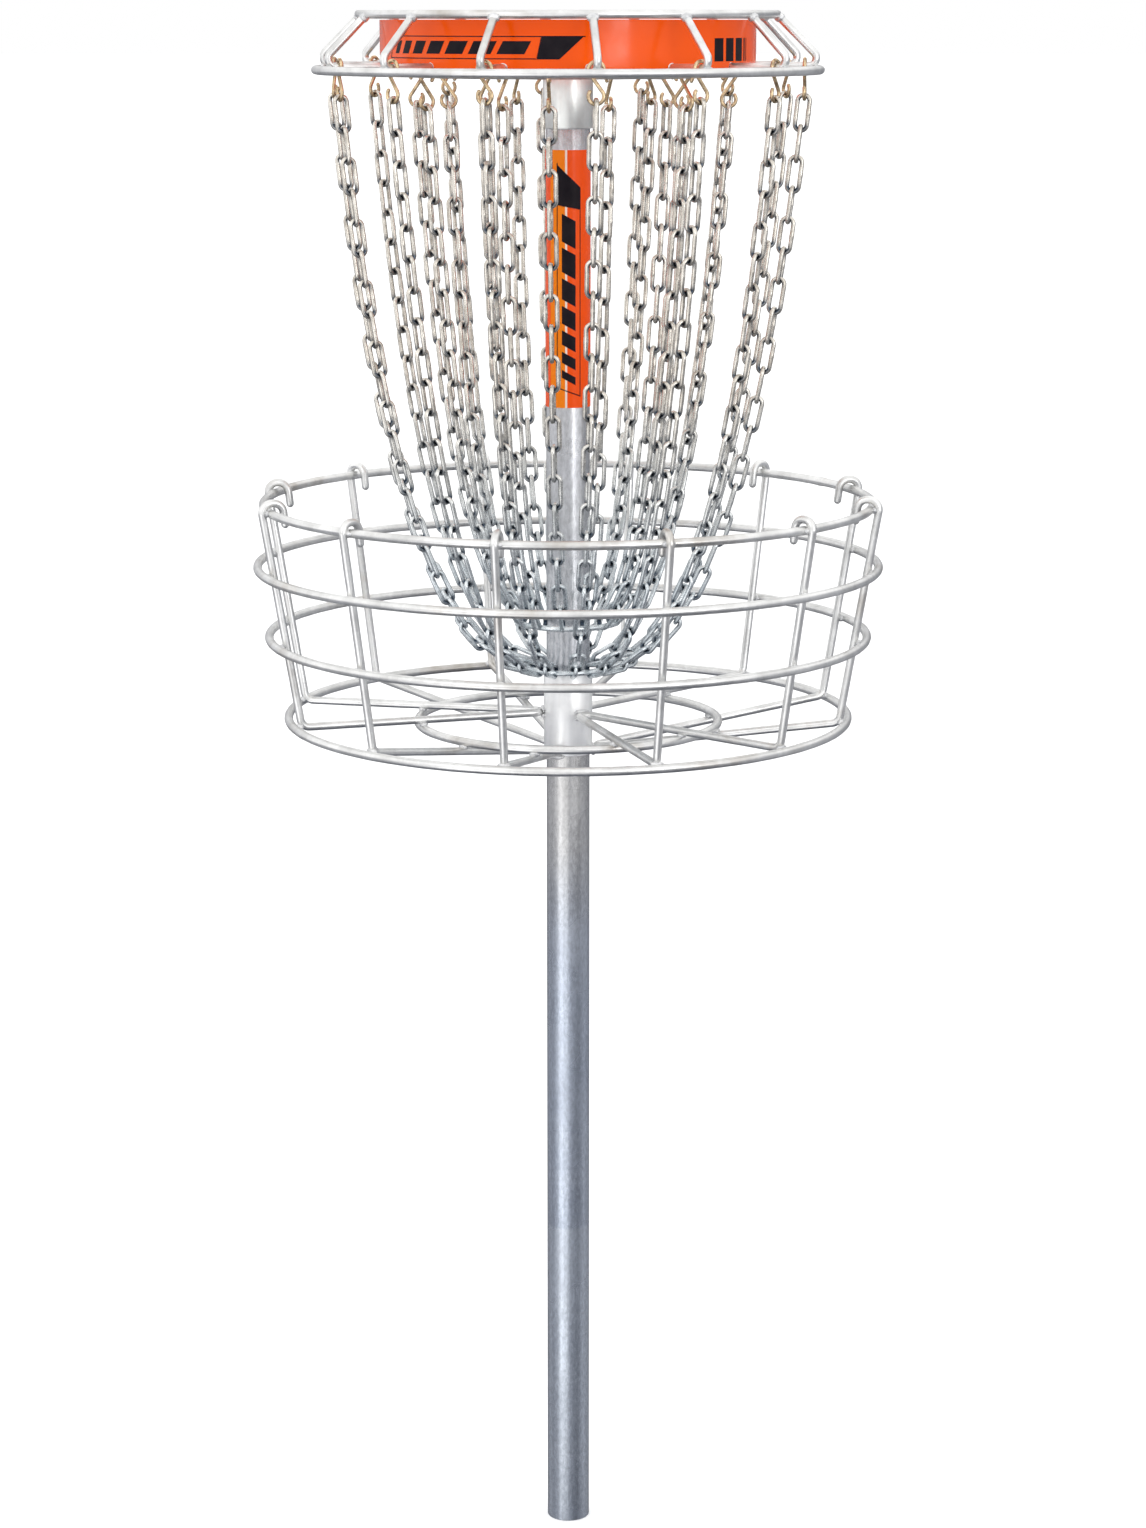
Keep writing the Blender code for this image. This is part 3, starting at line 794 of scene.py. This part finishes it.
def basket():
    for name, place, seam in (("rim", RIM, 120.0), ("second", SECOND, 205.0), ("third", THIRD, 160.0),
                              ("bottom", BOTTOM, 185.0)):
        hoop(name + "_hoop", place, RING_ROD, name + "_ring", seam)
    hoop("floor_hoop", FLOOR_HOOP, RING_ROD, "floor_ring", 150.0, count=HOOP_POINTS // 2)
    touch = (RING_ROD + BASKET_ROD) / 2 + WELD_GAP
    leg_radius = RIM[0] + touch
    foot, floor = basket_foot(leg_radius, touch)
    half = 180.0 / UPRIGHT_COUNT
    apex = v_apex(foot, half, BASKET_ROD)
    tip = leg_radius - 2 * HOOK_RADIUS
    hook_top = RIM[1] + HOOK_RADIUS

    def leg(heading):
        return [polar(tip - HOOK_TIP_SLANT, heading, RIM[1] - HOOK_TIP_LENGTH),
                polar(tip, heading, hook_top),
                polar(leg_radius + UPRIGHT_LEAN * HOOK_RADIUS, heading, hook_top),
                polar(foot, heading, floor)]

    bends = [HOOK_BEND, HOOK_BEND, UPRIGHT_FOOT_BEND]
    welds = []
    for pair in range(UPRIGHT_COUNT // 2):
        middle = FIRST_UPRIGHT + half * 3 + 4 * half * pair
        drop = LOW_APEX_DROP if pair % 2 else 0.0
        corners = leg(middle - half) + [polar(apex, middle, floor - drop)] + leg(middle + half)[::-1]
        path = rounded(corners, bends + [APEX_BEND] + bends[::-1])
        points, faces = sweep(filled_in(path, BASKET_SPACING), BASKET_ROD / 2)
        piece(f"upright_pair_{pair + 1}", points, faces, ROD_ZINC, "frame", [f"basket_rod_{pair + 1}"], STEEL)
        for side in (-1, 1):
            heading = middle + side * half
            for number, (radius, height) in enumerate((RIM, SECOND, THIRD)):
                leg_here = leg_radius - UPRIGHT_LEAN * (RIM[1] - height)
                welds.append(bead((radius + leg_here) / 2, heading, height, UPRIGHT_BEAD, heading + number))
            welds.append(bead(BOTTOM[0] - RING_ROD / 2, heading, BOTTOM[1] + BOTTOM_HOOP_BEAD_RISE,
                              BOTTOM_HOOP_BEAD, heading + 5))
            share = (foot - FLOOR_HOOP[0]) / (foot - apex)
            level = floor - drop * share
            contact = (level + FLOOR_HOOP[1]) / 2
            welds.append(bead(FLOOR_HOOP[0], heading, contact, FLOOR_HOOP_BEAD, heading + 7))
        welds += sleeve_beads(middle, floor - drop, BASKET_BEAD_LIFT)
    piece("basket_welds", *joined(welds), WELD_ZINC, "frame", slot=STEEL)


# ---- band and decal

def curved_sheet(radius, thickness, columns):
    """A closed sheet round the axis through columns of (heading, levels), with its rim faces."""
    points, faces = [], []
    levels = len(columns[0][1])
    for heading, heights in columns:
        for reach in (radius, radius - thickness):
            points += [polar(reach, heading, height) for height in heights]
    count = len(columns)
    for i in range(count):
        here, there = i * 2 * levels, (i + 1) % count * 2 * levels
        for level in range(levels - 1):
            faces.append((here + level, there + level, there + level + 1, here + level + 1))
            low, high = here + levels + level, there + levels + level
            faces.append((low + 1, high + 1, high, low))
        faces.append((here, here + levels, there + levels, there))
        faces.append((here + levels - 1, there + levels - 1, there + 2 * levels - 1, here + 2 * levels - 1))
    return points, faces


def band():
    """The sheet hoop with a rounded saddle slot over each spoke."""
    low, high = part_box("top_band")
    radius = high.x
    slot_half = BAND_SLOT / 2
    slot_turn = math.degrees(slot_half / radius)
    slot_top = SPOKE_LEVEL + SUPPORT_ROD / 2 + WELD_GAP
    above = [slot_top + (high.z - slot_top) * k / BAND_LEVELS for k in range(1, BAND_LEVELS + 1)]
    headings = [spoke_heading(i, radius) for i in range(SPOKE_COUNT)]
    columns = []
    for here, there in zip(headings, headings[1:] + [headings[0] + 360.0]):
        for i in range(SLOT_COLUMNS + 1):
            share = 2 * i / SLOT_COLUMNS - 1
            bottom = slot_top - slot_half * (1 - math.sqrt(max(0.0, 1 - share * share)))
            columns.append((here + share * slot_turn, [bottom] + above))
        start, end = here + slot_turn, there - slot_turn
        for i in range(PANEL_COLUMNS + 1):
            nudge = SLOT_EDGE_TURN * ((i == 0) - (i == PANEL_COLUMNS))
            columns.append((start + (end - start) * i / PANEL_COLUMNS + nudge, [low.z] + above))
    points, faces = curved_sheet(radius, BAND_THICKNESS, columns)
    piece("band_sheet", points, faces, BAND_PAINT, "frame", ["top_band"], ORANGE, 40.0)


def printed(bars, radius, heading, height, turned_up=False):
    """Thin printed bars on a curved face, each (left, right, bottom, top, slant) on the flat sheet."""
    parts = []
    for left, right, bottom, top, slant in bars:
        steps = max(1, math.ceil((right - left + abs(slant)) / PRINT_COLUMN))
        rows = max(1, math.ceil((top - bottom) / PRINT_ROW))
        points, faces = [], []
        for reach in (radius + PRINT_HEIGHT, radius - PRINT_DEPTH):
            for row in range(rows + 1):
                share = row / rows
                for i in range(steps + 1):
                    across = left + (right - left) * i / steps + slant * share
                    up = bottom + (top - bottom) * share
                    if turned_up:
                        across, up = -up, across
                    points.append(polar(reach, heading + math.degrees(across / radius), height + up))
        width = steps + 1
        layer = width * (rows + 1)
        for row in range(rows):
            for i in range(steps):
                a = row * width + i
                faces.append((a, a + 1, a + 1 + width, a + width))
                faces.append((a + layer, a + width + layer, a + 1 + width + layer, a + 1 + layer))
        rim = list(range(width)) + [row * width + width - 1 for row in range(1, rows + 1)]
        rim += [rows * width + i for i in range(width - 2, -1, -1)]
        rim += [row * width for row in range(rows - 1, 0, -1)]
        for a, b in zip(rim, rim[1:] + rim[:1]):
            faces.append((b, a, a + layer, b + layer))
        parts.append((points, faces))
    return joined(parts)


def speed_bars(length, height, line):
    """A generic graphic in shares of its length and height: a slanted frame round forward-leaning bars that
    grow wider, and a wedge at the end, made of thin rows."""
    slant = height * 0.36
    body = length * 0.80
    bars = [(slant, length, height - line, height, 0.0), (0.0, body, 0.0, line, 0.0),
            (0.0, line * 1.3, 0.0, height, slant)]
    low, high = height * 0.22, height * 0.78
    start = length * 0.05
    for number in range(7):
        width = length * (0.034 + 0.014 * number)
        bars.append((start, start + width, low, high, (high - low) * 0.55))
        start += width + length * (0.031 - 0.001 * number)
    rows = 20
    for row in range(rows):
        share = row / rows
        bars.append((body + length * 0.020 * share, length * (0.895 + 0.100 * share), height * share,
                     height * (share + 1 / rows) + ROW_OVERLAP, length * 0.005))
    return bars


def band_print():
    """The graphic on the band's front left and the plain upright bars on its front right."""
    low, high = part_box("top_band")
    middle = (low.z + high.z) / 2
    graphic = printed(speed_bars(*BAND_GRAPHIC), high.x, BAND_GRAPHIC_HEADING, middle - BAND_GRAPHIC_DROP)
    uprights = [(left, right, 0.0, PLAIN_BARS_TOP, 0.0) for left, right in PLAIN_BARS]
    plain = printed(uprights, high.x, PLAIN_BARS_HEADING, middle - PLAIN_BARS_DROP)
    piece("band_print", *joined([graphic, plain]), INK, "frame", slot=ORANGE, sharp=40.0)


def decal():
    """The film round the pole's front, with the graphic running up it."""
    low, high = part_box("pole_decal")
    radius = POLE_RADIUS + DECAL_REACH
    wrap = math.degrees(max(math.atan2(abs(v.co.x), -v.co.y) for v in cad_nodes["pole_decal"].data.vertices))
    points, faces = [], []
    for i in range(DECAL_COLUMNS + 1):
        heading = -wrap + 2 * wrap * i / DECAL_COLUMNS
        for reach in (radius, radius - DECAL_THICKNESS):
            points += [polar(reach, heading, low.z), polar(reach, heading, high.z)]
    for i in range(DECAL_COLUMNS):
        a, b = 4 * i, 4 * (i + 1)
        faces += [(a, b, b + 1, a + 1), (a + 2, a + 3, b + 3, b + 2)]
        faces += [(a, a + 2, b + 2, b), (a + 1, b + 1, b + 3, a + 3)]
    last = 4 * DECAL_COLUMNS
    faces += [(0, 1, 3, 2), (last, last + 2, last + 3, last + 1)]
    piece("decal_sheet", points, faces, DECAL_FILM, "frame", ["pole_decal"], "decal_film", 40.0)
    centring = math.degrees(DECAL_GRAPHIC[1] / 2 / radius)
    points, faces = printed(speed_bars(*DECAL_GRAPHIC), radius, DECAL_GRAPHIC_TURN + centring,
                            low.z + DECAL_GRAPHIC_RISE, turned_up=True)
    piece("decal_print", points, [face[::-1] for face in faces], INK, "frame", slot="decal_film", sharp=40.0)


# ---- chains

def hanging_curve(top, bottom, vertex):
    """The catenary between two (radius, height) points whose lowest point would be at the vertex radius:
    a function of the distance along it, and its length."""
    low, high = 0.01, 1.0
    for _ in range(HALVINGS):
        size = (low + high) / 2
        rise = size * (math.cosh((top[0] - vertex) / size) - math.cosh((bottom[0] - vertex) / size))
        low, high = (size, high) if rise > top[1] - bottom[1] else (low, size)
    start = size * math.sinh((top[0] - vertex) / size)

    def at(distance):
        run = math.asinh((start - distance) / size)
        rise = size * (math.cosh(run) - math.cosh((top[0] - vertex) / size))
        return vertex + size * run, top[1] + rise

    return at, start - size * math.sinh((bottom[0] - vertex) / size)


def link_shape():
    """One welded link round the origin, long in Z and wide in X, and the painted shade of each point."""
    bend = (LINK_WIDTH - LINK_WIRE) / 2
    straight = (LINK_PITCH + LINK_WIRE) / 2 - bend
    path = []
    for centre, first in ((straight, 0.0), (-straight, 180.0)):
        for i in range(13):
            angle = math.radians(first + 15.0 * i)
            path.append(Vector((bend * math.cos(angle), 0.0, centre + bend * math.sin(angle))))
        side = -bend if centre > 0 else bend
        path += [Vector((side, 0.0, centre * k)) for k in (0.5, 0.14, 0.0, -0.14, -0.5)]
    radii = []
    for place in path:
        swell = 0.14 * math.exp(-(place.z / LINK_BEAD) ** 2) if place.x > 0 else 0.0
        radii.append(LINK_WIRE / 2 * (1 + swell))
    count, sides = len(path), WIRE_SIDES
    deep = Vector((0, 1, 0))
    points, painted_shade, faces = [], [], []
    for i, place in enumerate(path):
        along = (path[(i + 1) % count] - path[i - 1]).normalized()
        out = along.cross(deep)
        for k in range(sides):
            angle = math.tau * k / sides
            points.append(place + (out * math.cos(angle) + deep * math.sin(angle)) * radii[i])
            # painted shade: all round a link's lower bend, where the next link's bend wraps it, and on the
            # inside of its upper bend
            inward = -math.cos(angle) * (1 if out.dot(place) > 0 else -1)
            near_end = min(1.0, max(0.0, (abs(place.z) - straight * 0.72) / (bend * 0.75)))
            painted_shade.append(near_end * min(1.0, max(0.0, (0.95 if place.z > 0 else 0.10) + inward * 1.1)))
        a, b = i * sides, (i + 1) % count * sides
        for k in range(sides):
            faces.append((a + k, a + (k + 1) % sides, b + (k + 1) % sides, b + k))
    return points, faces, painted_shade


LINK = link_shape()


def strand(prefix, number, hanger, ring, vertex, chance):
    """One strand of links from its hook to the chain ring. An outer hook hangs on a spoke, an inner one on a
    hanger hoop."""
    inner = prefix == "inner"
    heading = math.degrees(math.atan2(hanger.x, -hanger.y))
    around = polar(1, heading + 90, 0)
    radius = math.hypot(hanger.x, hanger.y)
    hook_top = hanger.z + HANGER_GAP + (HANGER_ROD if inner else SUPPORT_ROD) + HOOK_WIRE + HOOK_SLACK
    top = (radius, hook_top - HOOK_HEIGHT + HOOK_WIRE + LINK_WIRE / 2)
    at, total = hanging_curve(top, (ring[0] - (CHAIN_RING_ROD + LINK_WIRE) / 2, ring[1]), vertex)
    links = round((total - LINK_WIRE) / LINK_PITCH)
    pitch = (total - LINK_WIRE) / links
    sway = chance.uniform(-STRAND_SWAY, STRAND_SWAY)
    wander = chance.uniform(-STRAND_WANDER, STRAND_WANDER)
    turns = chance.choice((0.6, 1.0, 1.5))
    first = 90.0 if inner else 0.0
    twist = 90.0 * chance.choice((-1, 1)) if (links - 1 + inner) % 2 else 0.0

    def place(distance):
        r, z = at(distance)
        return polar(r, heading, z) + around * sway * math.sin(math.pi * distance / total)

    points, faces, painted_shade = [], [], []
    shape, shape_faces, shape_painted_shade = LINK
    for i in range(links):
        start, end = place(i * pitch), place(i * pitch + pitch + LINK_WIRE)
        along = (end - start).normalized()
        flat = around.cross(along).normalized()
        share = i / (links - 1)
        roll = first + (0 if i % 2 == 0 else 90) + twist * share
        unrest = wander * math.sin(math.tau * turns * share) + chance.uniform(-LINK_JITTER, LINK_JITTER)
        roll += math.sin(math.pi * share) * unrest
        wide = Matrix.Rotation(math.radians(roll), 3, along) @ flat
        if chance.random() < 0.5:
            wide = -wide
        deep = along.cross(wide)
        centre = (start + end) / 2
        base = len(points)
        points += [centre + wide * p.x + deep * p.y + along * p.z * pitch / LINK_PITCH for p in shape]
        faces += [tuple(base + k for k in face) for face in shape_faces]
        painted_shade += shape_painted_shade
    made = piece(f"{prefix}_links_{number:02d}", points, faces, CHAIN_ZINC, f"{prefix}_strand_{number:02d}",
                 [f"{prefix}_chain_{number:02d}"], CHAIN)
    # the painted shade of each point, read by the chain material
    made.data.attributes.new("painted_shade", "FLOAT", "POINT").data.foreach_set("value", painted_shade)
    return heading, radius, hook_top


def s_hook(prefix, number, heading, radius, hook_top, chance):
    """A closed S-hook in the plane across the spoke or the hoop that it hangs on."""
    facing = heading + (0 if prefix == "inner" else 90) + chance.uniform(-HOOK_JITTER, HOOK_JITTER)
    side = polar(1, facing, 0) * chance.choice((-1, 1) if prefix == "inner" else (1,))
    spread = (HOOK_HEIGHT - HOOK_WIRE) / 2 - HOOK_LOOP
    middle = polar(radius, heading, hook_top - HOOK_HEIGHT / 2)
    flat = []
    for i in range(19):
        angle = math.radians(-35 + i * 14.5)
        flat.append((HOOK_LOOP * math.cos(angle), spread + HOOK_LOOP * math.sin(angle)))
    lower = [(-x, -z) for x, z in reversed(flat)]
    path = [middle + side * x + Vector((0, 0, z)) for x, z in flat + lower]
    points, faces = sweep(filled_in(path, HOOK_SPACING), HOOK_WIRE / 2, sides=WIRE_SIDES, amount=0.01)
    piece(f"{prefix}_hook_{number:02d}", points, faces, HOOK_ZINC, f"{prefix}_strand_{number:02d}",
          slot=CHAIN)


def chains():
    chance = random.Random(7)
    for name, place, seam in (("outer", OUTER_RING, 40.0), ("inner", INNER_RING, 75.0)):
        hoop(name + "_gather_ring", place, CHAIN_RING_ROD, name + "_chain_ring", seam, CHAIN_ZINC, CHAIN,
             SMALL_HOOP_POINTS)
    for joint in frame["joints"]:
        prefix, _, number = joint["name"].partition("_swing_")
        ring, vertex = (OUTER_RING, OUTER_VERTEX) if prefix == "outer" else (INNER_RING, INNER_VERTEX)
        heading, radius, hook_top = strand(prefix, int(number), Vector(joint["pos_m"]), ring, vertex, chance)
        s_hook(prefix, int(number), heading, radius, hook_top, chance)


# ---- stage

def area_light(name, place, aim, width, height, power):
    lamp = bpy.data.lights.new(name, "AREA")
    lamp.shape = "RECTANGLE"
    lamp.size = width
    lamp.size_y = height
    lamp.energy = power
    made = bpy.data.objects.new(name, lamp)
    made.location = place
    made.rotation_euler = (Vector(aim) - Vector(place)).to_track_quat("-Z", "Y").to_euler()
    bpy.context.scene.collection.objects.link(made)


def surroundings(tree, turn, stops):
    """A ramp round the horizon, bluer where it is darker."""
    made = tree.node("ShaderNodeValToRGB", {"Fac": turn})
    elements = made.color_ramp.elements
    while len(elements) < len(stops):
        elements.new(0.5)
    for element, (heading, tone) in zip(elements, stops):
        element.position = (heading + 180) / 360
        warm = min(1.0, tone)
        element.color = (tone * (0.93 + 0.07 * warm), tone * (0.97 + 0.03 * warm),
                         tone * (1.10 - 0.09 * warm), 1)
    return made.outputs["Color"]


def studio_world():
    """White for the eye, soft light from above for shading, and lights and dark sides for the metal."""
    world = bpy.data.worlds.new("studio")
    bpy.context.scene.world = world
    world.use_nodes = True
    world.cycles.sampling_method = "NONE"
    tree = Tree(world.node_tree)
    direction = tree.node("ShaderNodeTexCoord").outputs["Generated"]
    parts = tree.node("ShaderNodeSeparateXYZ", {"Vector": direction}).outputs
    heading = tree.maths("ARCTAN2", parts["X"], tree.maths("MULTIPLY", parts["Y"], -1.0))
    turn = tree.scaled(heading, 0.0, 1.0, -math.pi, math.pi)

    def blend(limits, before, after):
        return tree.mix(tree.scaled(parts["Z"], 0.0, 1.0, *limits), before, after)

    around = blend(LOWER_FROM, surroundings(tree, turn, UPPER_SURROUNDINGS),
                   surroundings(tree, turn, LOWER_SURROUNDINGS))
    around = blend(GROUND_FROM, blend(SKY_FROM, around, SKY), GROUND)
    soft = blend(LIGHT_FROM, LIGHT_BELOW, LIGHT_ABOVE)
    path = tree.node("ShaderNodeLightPath").outputs
    lit = tree.mix(path["Is Glossy Ray"], soft, around)
    seen = tree.mix(path["Is Camera Ray"], lit, (1.0, 1.0, 1.0))
    world.node_tree.links.new(seen, world.node_tree.nodes["Background"].inputs["Color"])


def stage():
    studio_world()
    shape = bmesh.new()
    bmesh.ops.create_grid(shape, x_segments=8, y_segments=8, size=FLOOR_SIZE)
    mesh = bpy.data.meshes.new("studio_floor")
    shape.to_mesh(mesh)
    shape.free()
    mesh.materials.append(floor_paint())
    floor = bpy.data.objects.new("studio_floor", mesh)
    floor.location = (0, 0, CAD_BOX[0].z - FLOOR_GAP)
    floor.visible_glossy = False
    floor.visible_diffuse = False
    bpy.context.scene.collection.objects.link(floor)
    for lamp in LAMPS:
        area_light(*lamp)

    lens = bpy.data.cameras.new("camera")
    lens.lens = CAMERA_LENS
    lens.sensor_width = SENSOR
    camera = bpy.data.objects.new("camera", lens)
    camera.location = CAMERA_PLACE
    camera.rotation_euler = (math.radians(CAMERA_TILT), 0, 0)
    bpy.context.scene.collection.objects.link(camera)
    bpy.context.scene.camera = camera
    bpy.context.scene.view_settings.view_transform = "Standard"


stage()
pole_and_sleeves()
fasteners()
chain_support()
basket()
band()
band_print()
decal()
chains()
